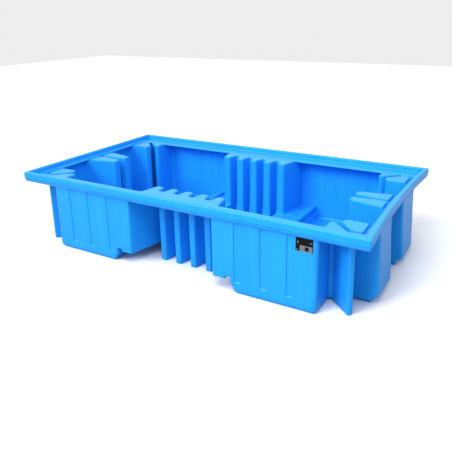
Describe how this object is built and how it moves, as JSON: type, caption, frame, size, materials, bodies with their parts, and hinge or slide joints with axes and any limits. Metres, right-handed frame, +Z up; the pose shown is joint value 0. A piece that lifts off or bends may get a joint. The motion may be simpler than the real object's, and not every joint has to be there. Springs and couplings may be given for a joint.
{
  "type": "spill containment pallet",
  "caption": "Moulded plastic spill containment sump for bulk liquid containers, with ribbed combs in its walls, corner fingers, a deck ledge under a raised rim, and fork channels.",
  "frame": {"origin": "on the ground under the middle of the sump", "axes": "+X along the length, +Y from the front to the rear, +Z up"},
  "size_m": [2.45, 1.39, 0.512],
  "materials": {
    "moulded_sump": "satin moulded polyethylene, blue, with a faint orange-peel texture",
    "label_film": "printed black film with a silver panel"
  },
  "bodies": {
    "root": {"center_foot": "moulded_sump", "front_comb": "moulded_sump", "rear_comb": "moulded_sump", "front_rim": "moulded_sump", "rear_rim": "moulded_sump", "left_foot": "moulded_sump", "left_fork_channel": "moulded_sump", "left_comb": "moulded_sump", "left_rim": "moulded_sump", "right_foot": "moulded_sump", "right_fork_channel": "moulded_sump", "right_comb": "moulded_sump", "right_rim": "moulded_sump", "front_left_corner": "moulded_sump", "front_wall_left": "moulded_sump", "left_wall_front": "moulded_sump", "rear_left_corner": "moulded_sump", "rear_wall_left": "moulded_sump", "left_wall_rear": "moulded_sump", "front_right_corner": "moulded_sump", "front_wall_right": "moulded_sump", "right_wall_front": "moulded_sump", "rear_right_corner": "moulded_sump", "rear_wall_right": "moulded_sump", "right_wall_rear": "moulded_sump", "rating_label": "label_film"}
  },
  "joints": []
}
